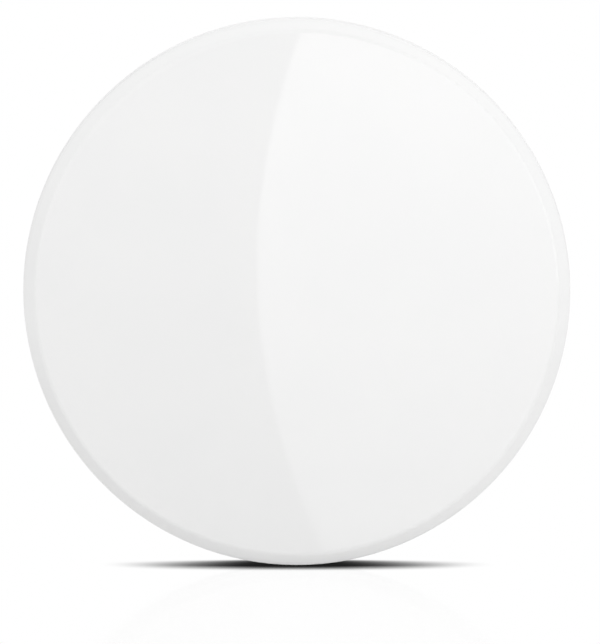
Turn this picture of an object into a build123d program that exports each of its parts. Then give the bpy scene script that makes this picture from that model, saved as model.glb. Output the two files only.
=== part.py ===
from build123d import *
import os

# Wireless panic button: a white disc, and the whole of its face is the key that is pressed.
# The disc is drawn lying on its back, with the wall at height 0 and the face upwards, and is
# stood up on its edge when it is written out. Lengths are in millimetres. Angles are in degrees,
# anticlockwise as the face is looked at, from the direction of the right-hand edge.

# Outer form, as the photograph shows it
body_radius = 30.0  # housing at its widest
cap_reveal = 0.1  # housing edge that shows past the cap
edge_band = 1.2  # width of the bevelled band round the face, seen from the front
band_drop = 0.9  # height that the band falls over that width
band_blend = 0.8  # softening between face and band
cap_corner = 0.35  # softening between band and side
dome_rise = 0.6  # height of the crown above the edge of the face
cap_depth = 4.6  # from the crown to the lower edge of the cap
body_taper = 0.5  # how much narrower the housing is at its back
rear_round = 2.0  # rounding of the back edge
rim_bevel = 0.3  # bevel of the housing edge behind the cap

# Walls
cap_wall = 1.5  # at the edge of the face, which is where the flat underside leaves it thinnest
cap_side = 1.2
cap_inner_bevel = 0.3
body_wall = 1.6
rear_wall = 1.5
collar_wall = 1.2
collar_bevel = 0.5
step_drop = 0.4  # how far the thick ring of the housing wall reaches below the deck
deck_wall = 1.2
lid_wall = 1.5

# Pressing the face
travel = 0.5
parting_spare = 0.2  # gap left at the parting line when the cap is fully down
stop_spare = 0.02  # and at the rim of the guide collar, which is what stops the cap
slide_gap = 0.25  # cap wall to guide collar

# Adhesive pad, lid and wall screws
pad_thickness = 0.8
pad_recess = 0.3
pad_gap = 0.2
pad_margin = 1.3  # lid left between the pad recess and a wall screw hole
rear_border = 6.0  # width of the housing's back, round the lid
lid_gap = 0.3
wall_hole_radius = 1.7
wall_hole_margin = 0.9  # from a hole to the lid's collar
grip_count = 2
grip_start = 90.0
grip_depth = 0.6
grip_width = 2.6
grip_span = 38.0
grip_edge = 1.1  # from the grip recess to the edge of the lid
seal_width = 0.75
seal_height = 0.8
seal_gap = 0.1
seal_edge = 0.2  # lid left between the seal and the inside of the lid

# Marks in the back that show whether the lid is locked: an arrow on the lid, and on the
# housing a dot that it points to when locked and a ring when free
mark_depth = 0.25
mark_radius = 1.0
mark_line = 0.3
mark_edge = 1.6  # from the middle of a mark to the edge that it lies by

# Twist lock between lid and housing
lock_count = 3
lock_start = 60.0
ledge_reach = 1.9  # from the neck wall inwards
ledge_height = 1.2
ledge_span = 40.0
ledge_gap = 0.15
lug_height = 1.0
lug_span = 22.0
lug_lift = 0.1  # lug above the ledge
lug_gap = 0.4  # lug to the neck wall
lid_collar_wall = 1.4
collar_gap = 0.4  # lid collar to the ledges
neck_wall = 1.4
neck_spare = 0.3
stop_span = 4.0
stop_angle_gap = 0.6  # lug to each stop

# Coin cell with its cushion, holder and contacts
cell_radius = 10.0
cell_thickness = 3.2
cell_cap_proud = 0.2
cell_gasket_width = 1.0
cell_wall = 0.25
cushion_thickness = 0.6
cushion_inset = 2.0  # from the edge of the cell
contact_room = 1.0  # cell to circuit board
holder_gap = 0.3
holder_wall = 1.3
holder_rise = 0.8  # the holder's wall starts this far up the cell
holder_floor_gap = 0.05
thumb_angle = 0.0
thumb_span = 70.0
clip_angles = (60.0, 300.0)
clip_span = 24.0
clip_overlap = 0.8
clip_thickness = 0.35
blade_angle = 180.0
blade_width = 5.0
blade_thickness = 0.3
blade_gap = 0.05
blade_foot = 3.2
blade_slot_span = 36.0
leaf_width = 4.0
leaf_thickness = 0.2
leaf_gap = 0.03
leaf_bend = 1.1  # where it leaves the board and where it levels out, either side of the middle
leaf_level = 2.5  # where its tip turns back towards the board
window_length = 8.0
window_width = 5.4

# Circuit board and its screws
board_thickness = 1.0
board_pass_gap = 0.9  # board edge to the ledges that it is passed through
board_gap = 0.6  # board to deck
key_angle = 135.0
key_radius = 1.15
key_gap = 0.25
screw_count = 3
screw_start = 60.0
screw_edge = 4.0  # from a screw's axis to the edge of the board
screw_radius = 0.8
screw_head_radius = 1.5
screw_head = 0.9
screw_bevel = 0.3
screw_length = 3.4
screw_fit = 0.02
screw_hole_gap = 0.15
boss_wall = 1.2
boss_spare = 0.6

# Push switch in the middle of the board
switch_width = 6.0
switch_body = 3.5
switch_height = 4.3  # board to the top of the plunger at rest
cover_thickness = 0.3
cover_flap = 1.6
cover_flap_width = 3.0
switch_floor = 1.4
switch_bore = 2.5
plunger_radius = 1.7
plunger_gap = 0.15
plunger_bevel = 0.2
flange_radius = 2.25
flange_height = 0.5
flange_gap = 0.05
nub_radius = 0.8
nub_gap = 0.03
dome_radius = 2.35
dome_height = 0.62
dome_thickness = 0.12
dome_flat = 0.9  # radius of its flat top
leg_width = 0.7
leg_thickness = 0.2
leg_rise = 1.0
leg_reach = 0.35
leg_foot = 0.9
leg_offset = 2.2
leg_sides = 2
switch_hole_gap = 0.6
press_pad_thickness = 0.8
press_pad_radius = 2.8
press_pad_gap = 0.2
press_ring_wall = 1.0
press_ring_height = 0.6

# Hooks, return springs and ribs, spaced in turn round the disc
set_count = 3
hook_start = 90.0
spring_start = 30.0
hook_width = 4.6
hook_thickness = 1.2
hook_inset = 1.85  # guide collar to the outer face of a hook's beam
barb_reach = 0.9
barb_height = 1.4
barb_edge = 0.3
barb_rest_gap = 0.1
slot_side_gap = 0.4
slot_outer_gap = 0.3
slot_inner_gap = 1.1
spring_inset = 4.8  # guide collar to the middle of a leaf spring
spring_length = 12.0
spring_width = 3.6
spring_thickness = 0.25
spring_foot = 4.2
spring_tip = 1.4
spring_gap = 0.03
stake_radius = 0.7
stake_gap = 0.1
stake_height = 0.6
rib_count = 6
rib_start = 0.0
rib_width = 0.8
deck_rib_height = 1.0
cap_rib_height = 0.8
cap_rib_end = 18.5
cap_ring_radius = 14.2
hub_wall = 1.0

# Status light
light_radius = 11.5
light_angle = 270.0
led_length = 1.6
led_width = 1.2
led_height = 0.4
pipe_radius = 1.1
pipe_gap = 0.1
pipe_led_gap = 0.1
pipe_head_radius = 1.6
pipe_head_height = 0.5
pipe_top_gap = 0.2
thin_spot_radius = 1.9
thin_spot_wall = 0.8

# Radio and small parts on the back of the board
shield_angle = 90.0
shield_length = 12.0
shield_width = 6.4
shield_height = 1.9
shield_wall = 0.2
chip_width = 4.5
chip_height = 0.85
chip_offset = 2.6
crystal_length = 3.2
crystal_width = 2.5
crystal_height = 0.75
crystal_offset = 3.4
antenna_edge = 2.3  # from the antenna's middle to the edge of the board
antenna_width = 0.8
antenna_thickness = 0.3
antenna_lift = 1.3
antenna_start = 204.0
antenna_span = 76.0
antenna_leg_span = 3.0
reservoir_angle = 22.0
reservoir_length = 6.0
reservoir_width = 3.2
reservoir_height = 2.0
small_part_count = 6
small_part_start = 318.0
small_part_step = 6.5
small_part_length = 1.6
small_part_width = 0.8
small_part_height = 0.5

# Heights above the wall, worked up through the stack
lid_back = pad_thickness - pad_recess
lid_inside = lid_back + lid_wall
cell_low = lid_inside + cushion_thickness
cell_high = cell_low + cell_thickness
board_low = cell_high + contact_room
board_high = board_low + board_thickness
deck_low = board_high + board_gap
deck_high = deck_low + deck_wall
plunger_top = board_high + switch_height
ceiling = plunger_top + press_pad_thickness
face_edge = ceiling + cap_wall
crown = face_edge + dome_rise
cap_low = crown - cap_depth
shoulder = cap_low - travel - parting_spare
collar_top = ceiling - travel - stop_spare
deck_step = deck_low - step_drop
ledge_low = lid_inside + ledge_gap
ledge_high = ledge_low + ledge_height
lug_low = ledge_high + lug_lift
lug_high = lug_low + lug_height
neck_top = lug_high + neck_spare
seal_high = lid_inside - seal_edge
seal_low = seal_high - seal_height
switch_low = board_high + switch_floor
switch_top = board_high + switch_body
flange_top = switch_top - cover_thickness - flange_gap
screw_tip = board_low + screw_length
led_high = board_high + led_height

# Radii, worked in from the housing
cap_radius = body_radius - cap_reveal
face_radius = cap_radius - edge_band
cap_inner = cap_radius - cap_side
collar_outer = cap_inner - slide_gap
collar_inner = collar_outer - collar_wall
back_radius = body_radius - body_taper
body_inner = back_radius - body_wall
lid_radius = body_radius - rear_border
neck_inner = lid_radius + lid_gap
neck_outer = neck_inner + neck_wall
ledge_inner = neck_inner - ledge_reach
lug_outer = neck_inner - lug_gap
lid_collar_outer = ledge_inner - collar_gap
lid_collar_inner = lid_collar_outer - lid_collar_wall
wall_hole_place = lid_collar_inner - wall_hole_margin - wall_hole_radius
pad_radius = wall_hole_place - wall_hole_radius - pad_margin
seal_outer = neck_inner - seal_gap
seal_inner = seal_outer - seal_width
board_radius = ledge_inner - board_pass_gap
screw_place = board_radius - screw_edge
boss_radius = screw_radius + screw_fit + boss_wall
holder_inner = cell_radius + holder_gap
holder_outer = holder_inner + holder_wall
cell_inside = cell_radius - cell_wall
cell_cap_radius = cell_inside - cell_gasket_width
cushion_radius = cell_radius - cushion_inset
parts_place = (holder_outer + board_radius) / 2
antenna_place = board_radius - antenna_edge
hook_outer = collar_inner - hook_inset
hook_inner = hook_outer - hook_thickness
spring_place = collar_inner - spring_inset
stake_place = (spring_place, (spring_foot - spring_length) / 2)
press_ring_inner = press_pad_radius + press_pad_gap
press_ring_outer = press_ring_inner + press_ring_wall
hub_inner = switch_width / 2 + switch_hole_gap
hub_outer = hub_inner + hub_wall

# Turn of the lid between locked and free, and where the ledges lie for it
twist = ledge_span - stop_span
ledge_start = lock_start + lug_span / 2 + stop_angle_gap - twist
open_stop_start = lock_start - lug_span / 2 - twist - stop_angle_gap - stop_span

ON_BASE = (Align.CENTER, Align.CENTER, Align.MIN)
ROOT = 0.3  # how far ribs and posts run into the wall that carries them


def post(radius, low, high, place=(0, 0)):
    """An upright cylinder between two heights."""
    return Pos(*place, low) * Cylinder(radius, high - low, align=ON_BASE)


def tube(outer, inner, low, high, place=(0, 0)):
    """An upright ring between two heights."""
    return post(outer, low, high, place) - post(inner, low, high, place)


def block(length, width, low, high, place=(0, 0)):
    """An upright block between two heights, centred on a place."""
    return Pos(*place, low) * Box(length, width, high - low, align=ON_BASE)


def sector(inner, outer, low, high, start, span):
    """A curved block between two radii and two heights, running on from a start angle."""
    section = Pos((inner + outer) / 2, (low + high) / 2) * Rectangle(outer - inner, high - low)
    return Rot(0, 0, start) * revolve(Plane.XZ * section, Axis.Z, span)


def turned(outline):
    """Spins an outline of radius and height about the axis."""
    return revolve(Plane.XZ * outline, Axis.Z)


def set_round(count, start):
    """Turns that space copies evenly about the axis, from a first angle."""
    return [Rot(0, 0, start + 360 * number / count) for number in range(count)]


def corner_at(outline, radius, height):
    """The corner of an outline that is nearest to a point."""
    return outline.vertices().sort_by_distance((radius, height, 0))[0]


def bent_strip(points, thickness, width):
    """A strip of sheet metal, bent along a line of points that is seen from the side."""
    side = trace(Polyline(*points), thickness)
    return extrude(Plane.XZ * side, width / 2, both=True)


def flat_beam(inner, outer, low, high, width):
    """A rib or beam along the first direction, between two distances from the axis."""
    return block(outer - inner, width, low, high, ((inner + outer) / 2, 0))


def adhesive_pad():
    """Foam tape that holds the button on the wall."""
    return post(pad_radius, 0, pad_thickness)


def rear_lid():
    """The back, which stays on the wall when the rest is twisted off to change the cell."""
    lid = post(lid_radius, lid_back, lid_inside)
    lid += tube(lid_collar_outer, lid_collar_inner, lid_inside, lug_high)
    for turn in set_round(lock_count, lock_start - lug_span / 2):
        lid += turn * sector(lid_collar_inner + ROOT, lug_outer, lug_low, lug_high, 0, lug_span)
    lid -= post(pad_radius + pad_gap, lid_back, pad_thickness)
    for side in (-1, 1):
        lid -= post(wall_hole_radius, lid_back, lid_inside, (side * wall_hole_place, 0))
    grip_outer = lid_radius - grip_edge
    grip_inner, grip_floor = grip_outer - grip_width, lid_back + grip_depth
    for turn in set_round(grip_count, grip_start - grip_span / 2):
        lid -= turn * sector(grip_inner, grip_outer, lid_back, grip_floor, 0, grip_span)
    arrow = extrude(RegularPolygon(mark_radius, 3), mark_depth)
    lid -= Pos(lid_radius - mark_edge, 0, lid_back) * arrow
    return lid - tube(lid_radius, seal_inner, seal_low, seal_high)


def lid_seal():
    """Silicone ring round the edge of the lid."""
    return tube(seal_outer, seal_inner, seal_low, seal_high)


def cell_cushion():
    """Foam disc on the lid that keeps the coin cell down."""
    return post(cushion_radius, lid_inside, cell_low)


def housing_shell():
    """The housing's skirt, back, neck, deck and guide collar as one turned outline."""
    outline = make_face(
        Polyline(
            (neck_inner, lid_back),
            (back_radius, lid_back),
            (body_radius, deck_step),
            (body_radius, shoulder),
            (collar_outer, shoulder),
            (collar_outer, collar_top),
            (collar_inner, collar_top),
            (collar_inner, deck_high),
            (0, deck_high),
            (0, deck_low),
            (collar_inner, deck_low),
            (collar_inner, deck_step),
            (body_inner, deck_step - (body_inner - collar_inner)),
            (body_inner, lid_back + rear_wall),
            (neck_outer, lid_back + rear_wall),
            (neck_outer, neck_top),
            (neck_inner, neck_top),
            close=True,
        )
    )
    outline = fillet(corner_at(outline, back_radius, lid_back), rear_round)
    outline = chamfer(corner_at(outline, body_radius, shoulder), rim_bevel)
    outline = chamfer(corner_at(outline, collar_outer, collar_top), collar_bevel)
    return turned(outline)


def lock_ledges():
    """Ledges, closed stops and open stops in the housing's neck, for the lid's lugs."""
    edge = neck_inner + ROOT
    ledges = []
    for turn in set_round(lock_count, 0):
        closed_stop = ledge_start + ledge_span - stop_span
        ledges.append(turn * sector(ledge_inner, edge, ledge_low, ledge_high, ledge_start, ledge_span))
        ledges.append(turn * sector(ledge_inner, edge, ledge_low, lug_high, closed_stop, stop_span))
        ledges.append(turn * sector(ledge_inner, edge, ledge_low, lug_high, open_stop_start, stop_span))
    return ledges


def deck_features():
    """What the deck carries: the switch hub, ribs, spring stakes, screw bosses and the board's key."""
    root = deck_high - ROOT
    rib_top = deck_high + deck_rib_height
    features = [block(2 * hub_outer, 2 * hub_outer, root, rib_top)]
    for turn in set_round(rib_count, rib_start):
        features.append(turn * flat_beam(hub_inner, collar_inner + ROOT, root, rib_top, rib_width))
    for turn in set_round(set_count, spring_start):
        features.append(turn * post(stake_radius, root, deck_high + stake_height, stake_place))
    for turn in set_round(screw_count, screw_start):
        features.append(turn * post(boss_radius, board_high, screw_tip + boss_spare, (screw_place, 0)))
    features.append(Rot(0, 0, key_angle) * post(key_radius, board_low, deck_low + ROOT, (board_radius, 0)))
    return features


def deck_openings():
    """What is cut through the deck: switch hole, hook slots, screw holes and light hole."""
    openings = [block(2 * hub_inner, 2 * hub_inner, deck_low, deck_high + deck_rib_height)]
    slot_inner, slot_outer = hook_inner - slot_inner_gap, hook_outer + slot_outer_gap
    slot = flat_beam(slot_inner, slot_outer, deck_low, deck_high, hook_width + 2 * slot_side_gap)
    for turn in set_round(set_count, hook_start):
        openings.append(turn * slot)
    for turn in set_round(screw_count, screw_start):
        openings.append(turn * post(screw_radius + screw_fit, board_high, screw_tip, (screw_place, 0)))
    light_hole = post(pipe_radius + pipe_gap, deck_low, deck_high, (light_radius, 0))
    openings.append(Rot(0, 0, light_angle) * light_hole)
    return openings


def lock_marks():
    """The dot and the ring that are sunk in the housing's back, beside the lid's arrow."""
    place = (neck_inner + mark_edge, 0)
    mark_floor = lid_back + mark_depth
    dot = post(mark_radius, lid_back, mark_floor, place)
    ring = tube(mark_radius, mark_radius - mark_line, lid_back, mark_floor, place)
    return [dot, Rot(0, 0, -twist) * ring]


def housing():
    """The moulded housing with its inner deck in one piece."""
    return housing_shell() + lock_ledges() + deck_features() - deck_openings() - lock_marks()


def cap_shell():
    """The key's face, edge band and side wall, with a flat underside, as one turned outline."""
    outline = make_face(
        TangentArc((0, crown), (face_radius, face_edge), tangent=(1, 0))
        + Polyline(
            (face_radius, face_edge),
            (cap_radius, face_edge - band_drop),
            (cap_radius, cap_low),
            (cap_inner, cap_low),
            (cap_inner, ceiling),
            (0, ceiling),
            (0, crown),
        )
    )
    outline = fillet(corner_at(outline, face_radius, face_edge), band_blend)
    outline = fillet(corner_at(outline, cap_radius, face_edge - band_drop), cap_corner)
    outline = chamfer(corner_at(outline, cap_inner, ceiling), cap_inner_bevel)
    return turned(outline)


def hook():
    """A snap hook that hangs from the cap and catches under the deck."""
    barb_top = deck_low - barb_rest_gap
    tip = barb_top - barb_height
    side = Polyline(
        (hook_inner, ceiling + ROOT),
        (hook_outer, ceiling + ROOT),
        (hook_outer, barb_top),
        (hook_outer + barb_reach, barb_top),
        (hook_outer + barb_reach, barb_top - barb_edge),
        (hook_outer, tip),
        (hook_inner, tip),
        close=True,
    )
    return extrude(Plane.XZ * make_face(side), hook_width / 2, both=True)


def cap_features():
    """What hangs under the key: the ring round the press pad, ribs and hooks."""
    root = ceiling + ROOT
    rib_low = ceiling - cap_rib_height
    ring_inner, ring_outer = cap_ring_radius - rib_width / 2, cap_ring_radius + rib_width / 2
    features = [tube(ring_outer, ring_inner, rib_low, root)]
    features.append(tube(press_ring_outer, press_ring_inner, ceiling - press_ring_height, root))
    for turn in set_round(rib_count, rib_start):
        features.append(turn * flat_beam(press_ring_inner + ROOT, cap_rib_end, rib_low, root, rib_width))
    for turn in set_round(set_count, hook_start):
        features.append(turn * hook())
    return features


def front_cap():
    """The key that fills the face, with a thin spot that the status light shines through."""
    face_above_light = crown - dome_rise * (light_radius / face_radius) ** 2
    thin_spot = post(thin_spot_radius, ceiling, face_above_light - thin_spot_wall, (light_radius, 0))
    return cap_shell() + cap_features() - Rot(0, 0, light_angle) * thin_spot


def press_pad():
    """Rubber pad between the key and the switch plunger."""
    return post(press_pad_radius, plunger_top, ceiling)


def circuit_board():
    """Round board with three screw holes and a notch for the key post."""
    board = post(board_radius, board_low, board_high)
    for turn in set_round(screw_count, screw_start):
        board -= turn * post(screw_radius + screw_hole_gap, board_low, board_high, (screw_place, 0))
    notch = post(key_radius + key_gap, board_low, board_high, (board_radius, 0))
    return board - Rot(0, 0, key_angle) * notch


def board_screw():
    """Pan-head screw that goes into a boss of the housing from the board's back."""
    head_low = board_low - screw_head
    head = post(screw_head_radius, head_low, board_low)
    head = chamfer(head.edges().sort_by(Axis.Z)[0], screw_bevel)
    return head + post(screw_radius, head_low + ROOT, screw_tip)


def board_screws():
    """The three board screws in their places."""
    return [turn * Pos(screw_place, 0, 0) * board_screw() for turn in set_round(screw_count, screw_start)]


def battery_holder():
    """Moulded cup on the board's back that holds the coin cell, with two clips under its edge."""
    floor = cell_high + holder_floor_gap
    wall_low = cell_low + holder_rise
    clip_high = cell_low - holder_floor_gap
    clip_low = clip_high - clip_thickness
    inner, outer, low = holder_inner - ROOT, holder_outer + ROOT, clip_low - ROOT
    holder = post(holder_outer, clip_low, board_low) - post(holder_inner, clip_low, floor)
    for angle, following in zip(clip_angles, clip_angles[1:] + (clip_angles[0] + 360,)):
        clip_end = angle + clip_span / 2
        holder -= sector(inner, outer, low, wall_low, clip_end, following - clip_span / 2 - clip_end)
    clip_inner, clip_outer = cell_radius - clip_overlap, holder_inner + ROOT
    for angle in clip_angles:
        clip = sector(clip_inner, clip_outer, clip_low, clip_high, 0, clip_span)
        holder += Rot(0, 0, angle - clip_span / 2) * clip
    thumb_opening = sector(inner, outer, low, floor, 0, thumb_span)
    blade_slot = sector(cell_radius - ROOT, outer, low, board_low, 0, blade_slot_span)
    holder -= Rot(0, 0, thumb_angle - thumb_span / 2) * thumb_opening
    holder -= Rot(0, 0, blade_angle - blade_slot_span / 2) * blade_slot
    return holder - block(window_length, window_width, floor, board_low)


def positive_contact():
    """Sprung blade beside the coin cell's can, with a foot on the board."""
    blade_place = cell_radius + blade_gap + blade_thickness / 2
    foot_height = board_low - blade_thickness / 2
    points = (
        (blade_place + blade_foot, foot_height),
        (blade_place, foot_height),
        (blade_place, cell_low + holder_rise),
    )
    return Rot(0, 0, blade_angle) * bent_strip(points, blade_thickness, blade_width)


def negative_contact():
    """Sprung leaf in the holder's window that touches the coin cell's cap."""
    foot_height = board_low - leaf_thickness / 2
    tip_height = cell_high + leaf_gap + leaf_thickness / 2
    reach = window_length / 2 - leaf_thickness
    points = (
        (-reach, foot_height),
        (-leaf_bend, foot_height),
        (leaf_bend, tip_height),
        (leaf_level, tip_height),
        (reach, (foot_height + tip_height) / 2),
    )
    return bent_strip(points, leaf_thickness, leaf_width)


def coin_cell_can():
    """The cell's can, which is its positive pole, open towards the board."""
    can_high = cell_high - cell_cap_proud
    can = post(cell_radius, cell_low, can_high)
    can = chamfer(can.edges().sort_by(Axis.Z)[0], cell_wall / 2)
    return can - post(cell_inside, cell_low + cell_wall, can_high)


def coin_cell_gasket():
    """The cell's sealing ring between can and cap."""
    return tube(cell_inside, cell_cap_radius, cell_low + cell_wall, cell_high - cell_cap_proud)


def coin_cell_cap():
    """The cell's cap, which is its negative pole."""
    cap = post(cell_cap_radius, cell_low + 2 * cell_wall, cell_high)
    cap = chamfer(cap.edges().sort_by(Axis.Z)[-1], cell_cap_proud / 2)
    return cap - post(cell_cap_radius - cell_wall, cell_low + 2 * cell_wall, cell_high - cell_wall)


def coin_cell_core():
    """The cell's pressed filling."""
    return post(cell_cap_radius - cell_wall, cell_low + cell_wall, cell_high - cell_wall)


def switch_base():
    """The push switch's moulded base, with a round well for the dome."""
    base_high = switch_top - cover_thickness
    return block(switch_width, switch_width, board_high, base_high) - post(switch_bore, switch_low, base_high)


def switch_cover():
    """The push switch's sheet-metal cover, with a flap down each of two sides."""
    base_high = switch_top - cover_thickness
    cover_width = switch_width + 2 * cover_thickness
    cover = block(switch_width, cover_width, base_high, switch_top)
    cover -= post(plunger_radius + plunger_gap, base_high, switch_top)
    for side in (-1, 1):
        place = (0, side * (switch_width + cover_thickness) / 2)
        cover += block(cover_flap_width, cover_thickness, switch_top - cover_flap, switch_top, place)
    return cover


def switch_terminals():
    """The push switch's four bent legs."""
    foot_height = board_high + leg_thickness / 2
    bend = switch_width / 2 + leg_reach
    points = (
        (switch_width / 2, board_high + leg_rise),
        (bend, board_high + leg_rise),
        (bend, foot_height),
        (bend + leg_foot, foot_height),
    )
    leg = bent_strip(points, leg_thickness, leg_width)
    pair = [Pos(0, side * leg_offset, 0) * leg for side in (-1, 1)]
    return [turn * one for turn in set_round(leg_sides, 0) for one in pair]


def switch_dome():
    """The push switch's snap dome: a thin dished disc with a flat top, drawn unpressed."""
    top = switch_low + dome_height
    foot = dome_thickness * (dome_radius - dome_flat) / dome_height
    outline = Polyline(
        (0, top),
        (dome_flat, top),
        (dome_radius, switch_low),
        (dome_radius - foot, switch_low),
        (dome_flat, top - dome_thickness),
        (0, top - dome_thickness),
        close=True,
    )
    return turned(make_face(outline))


def switch_plunger():
    """The push switch's plunger, with a flange under the cover and a nub over the dome."""
    flange_low = flange_top - flange_height
    plunger = post(plunger_radius, flange_low, plunger_top)
    plunger = chamfer(plunger.edges().sort_by(Axis.Z)[-1], plunger_bevel)
    plunger += post(flange_radius, flange_low, flange_top)
    return plunger + post(nub_radius, switch_low + dome_height + nub_gap, flange_low)


def return_spring():
    """A bent leaf spring, staked to the deck by its foot, whose tip bears on the key's underside."""
    half = spring_length / 2
    foot_height = deck_high + spring_thickness / 2
    tip_height = ceiling - spring_gap - spring_thickness / 2
    points = (
        (-half, foot_height),
        (spring_foot - half, foot_height),
        (half - spring_tip, tip_height),
        (half, tip_height - spring_thickness),
    )
    leaf = Rot(0, 0, 90) * bent_strip(points, spring_thickness, spring_width)
    hole = post(stake_radius + stake_gap, deck_high, deck_high + stake_height, stake_place)
    return Pos(spring_place, 0, 0) * leaf - hole


def return_springs():
    """The three return springs in their places."""
    return [turn * return_spring() for turn in set_round(set_count, spring_start)]


def status_led():
    """The light itself, on the front of the board."""
    return Rot(0, 0, light_angle) * block(led_length, led_width, board_high, led_high, (light_radius, 0))


def light_pipe():
    """Clear pipe that leads the light through the deck to the thin spot in the key."""
    pipe = post(pipe_radius, led_high + pipe_led_gap, ceiling - travel - pipe_top_gap, (light_radius, 0))
    pipe += post(pipe_head_radius, deck_high, deck_high + pipe_head_height, (light_radius, 0))
    return Rot(0, 0, light_angle) * pipe


def radio_shield():
    """Sheet-metal can over the radio, open towards the board."""
    low, place = board_low - shield_height, (parts_place, 0)
    inner_width, inner_length = shield_width - 2 * shield_wall, shield_length - 2 * shield_wall
    shield = block(shield_width, shield_length, low, board_low, place)
    shield -= block(inner_width, inner_length, low + shield_wall, board_low, place)
    return Rot(0, 0, shield_angle) * shield


def radio_chip():
    """The radio's chip, under the shield."""
    place = (parts_place, chip_offset)
    chip = block(chip_width, chip_width, board_low - chip_height, board_low, place)
    return Rot(0, 0, shield_angle) * chip


def crystal():
    """The radio's crystal in its can, under the shield."""
    place = (parts_place, -crystal_offset)
    can = block(crystal_width, crystal_length, board_low - crystal_height, board_low, place)
    return Rot(0, 0, shield_angle) * can


def antenna():
    """Curved strip of sheet metal that stands off the back of the board on a leg at each end."""
    inner, outer = antenna_place - antenna_width / 2, antenna_place + antenna_width / 2
    strip_low = board_low - antenna_lift - antenna_thickness
    strip = sector(inner, outer, strip_low, board_low - antenna_lift, antenna_start, antenna_span)
    for leg_start in (antenna_start, antenna_start + antenna_span - antenna_leg_span):
        strip += sector(inner, outer, strip_low, board_low, leg_start, antenna_leg_span)
    return strip


def reservoir_capacitor():
    """Large capacitor that feeds the radio while it sends."""
    low, place = board_low - reservoir_height, (parts_place, 0)
    return Rot(0, 0, reservoir_angle) * block(reservoir_width, reservoir_length, low, board_low, place)


def small_parts():
    """A row of small resistors and capacitors on the back of the board."""
    low, place = board_low - small_part_height, (parts_place, 0)
    part = block(small_part_length, small_part_width, low, board_low, place)
    turns = [Rot(0, 0, small_part_start + small_part_step * number) for number in range(small_part_count)]
    return [turn * part for turn in turns]


def stood_up(shape):
    """Turns a sub-part from lying on its back to standing on its edge, face forwards."""
    solids = shape if isinstance(shape, list) else [shape]
    standing = [Rot(90, 0, 0) * solid for solid in solids]
    return Compound(children=standing) if len(standing) > 1 else standing[0]


SUB_PARTS = (
    adhesive_pad,
    rear_lid,
    lid_seal,
    cell_cushion,
    housing,
    front_cap,
    press_pad,
    circuit_board,
    board_screws,
    battery_holder,
    positive_contact,
    negative_contact,
    coin_cell_can,
    coin_cell_gasket,
    coin_cell_cap,
    coin_cell_core,
    switch_base,
    switch_cover,
    switch_terminals,
    switch_dome,
    switch_plunger,
    return_springs,
    status_led,
    light_pipe,
    radio_shield,
    radio_chip,
    crystal,
    antenna,
    reservoir_capacitor,
    small_parts,
)

os.makedirs("parts", exist_ok=True)
for sub_part in SUB_PARTS:
    export_step(stood_up(sub_part()), f"parts/{sub_part.__name__}.step")
print("turn of the lid between locked and free, degrees:", round(twist, 3))
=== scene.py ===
# %% [markdown]
# A wireless panic button is a white disc, 60 mm across, and the whole of its face is one key.
# Its construction comes ready made as the frame: every moulding, clip and chip is already there
# at its true size and place. What is left to Blender is what solids can't say, which is how each
# surface is finished, the two pieces of foam, the studio and the camera. So the first step only
# loads the frame and takes the few sizes that the later steps are worked out from.
# %% Load the frame and take its sizes
import bpy
import math
import numpy as np
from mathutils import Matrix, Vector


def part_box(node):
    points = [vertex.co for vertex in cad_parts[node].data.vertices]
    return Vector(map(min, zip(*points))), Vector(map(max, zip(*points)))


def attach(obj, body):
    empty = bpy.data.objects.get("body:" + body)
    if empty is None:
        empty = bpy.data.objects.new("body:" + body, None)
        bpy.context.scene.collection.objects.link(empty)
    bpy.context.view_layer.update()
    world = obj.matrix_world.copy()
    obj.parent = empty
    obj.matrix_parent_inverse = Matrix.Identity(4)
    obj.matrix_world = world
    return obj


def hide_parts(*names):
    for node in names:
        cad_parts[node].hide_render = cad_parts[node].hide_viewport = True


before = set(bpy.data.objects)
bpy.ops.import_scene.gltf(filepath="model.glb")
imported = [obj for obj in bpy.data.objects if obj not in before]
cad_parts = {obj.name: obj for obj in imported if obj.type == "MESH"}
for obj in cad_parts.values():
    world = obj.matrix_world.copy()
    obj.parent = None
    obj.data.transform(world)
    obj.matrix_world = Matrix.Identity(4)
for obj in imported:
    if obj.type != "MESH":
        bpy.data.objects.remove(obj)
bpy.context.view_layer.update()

MM = 0.001
key_low, key_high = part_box("front_cap")
body_low, body_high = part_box("housing")
key_radius = key_high.x
body_radius = body_high.x
lid_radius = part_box("rear_lid")[1].x
board_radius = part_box("circuit_board")[1].x
floor_height = body_low.z
print("key %.1f mm, housing %.1f mm, lid %.1f mm across" % tuple(
    2 * radius / MM for radius in (key_radius, body_radius, lid_radius)
))

# %% [markdown]
# Materials in Blender are small networks of nodes, and written out in full they are long. A few
# helpers keep them short. The first adds a node and feeds its sockets, and the others each stand
# for one kind of node that is needed again and again: a sum, a soft step, a blend or a noise.
# %% Helpers for single nodes


def grey(level):
    """A neutral colour of one linear level."""
    return (level, level, level, 1.0)


def add(tree, kind, settings, feeds):
    """Adds a node, gives it settings, and feeds its inputs with values or with other sockets."""
    node = tree.nodes.new(kind)
    for name, value in settings.items():
        setattr(node, name, value)
    for socket, value in feeds.items():
        if isinstance(value, bpy.types.NodeSocket):
            tree.links.new(value, node.inputs[socket])
        else:
            node.inputs[socket].default_value = value
    return node


def calculate(tree, operation, first, second=0.0):
    """One sum on two numbers."""
    return add(tree, "ShaderNodeMath", {"operation": operation}, {0: first, 1: second}).outputs[0]


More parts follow.
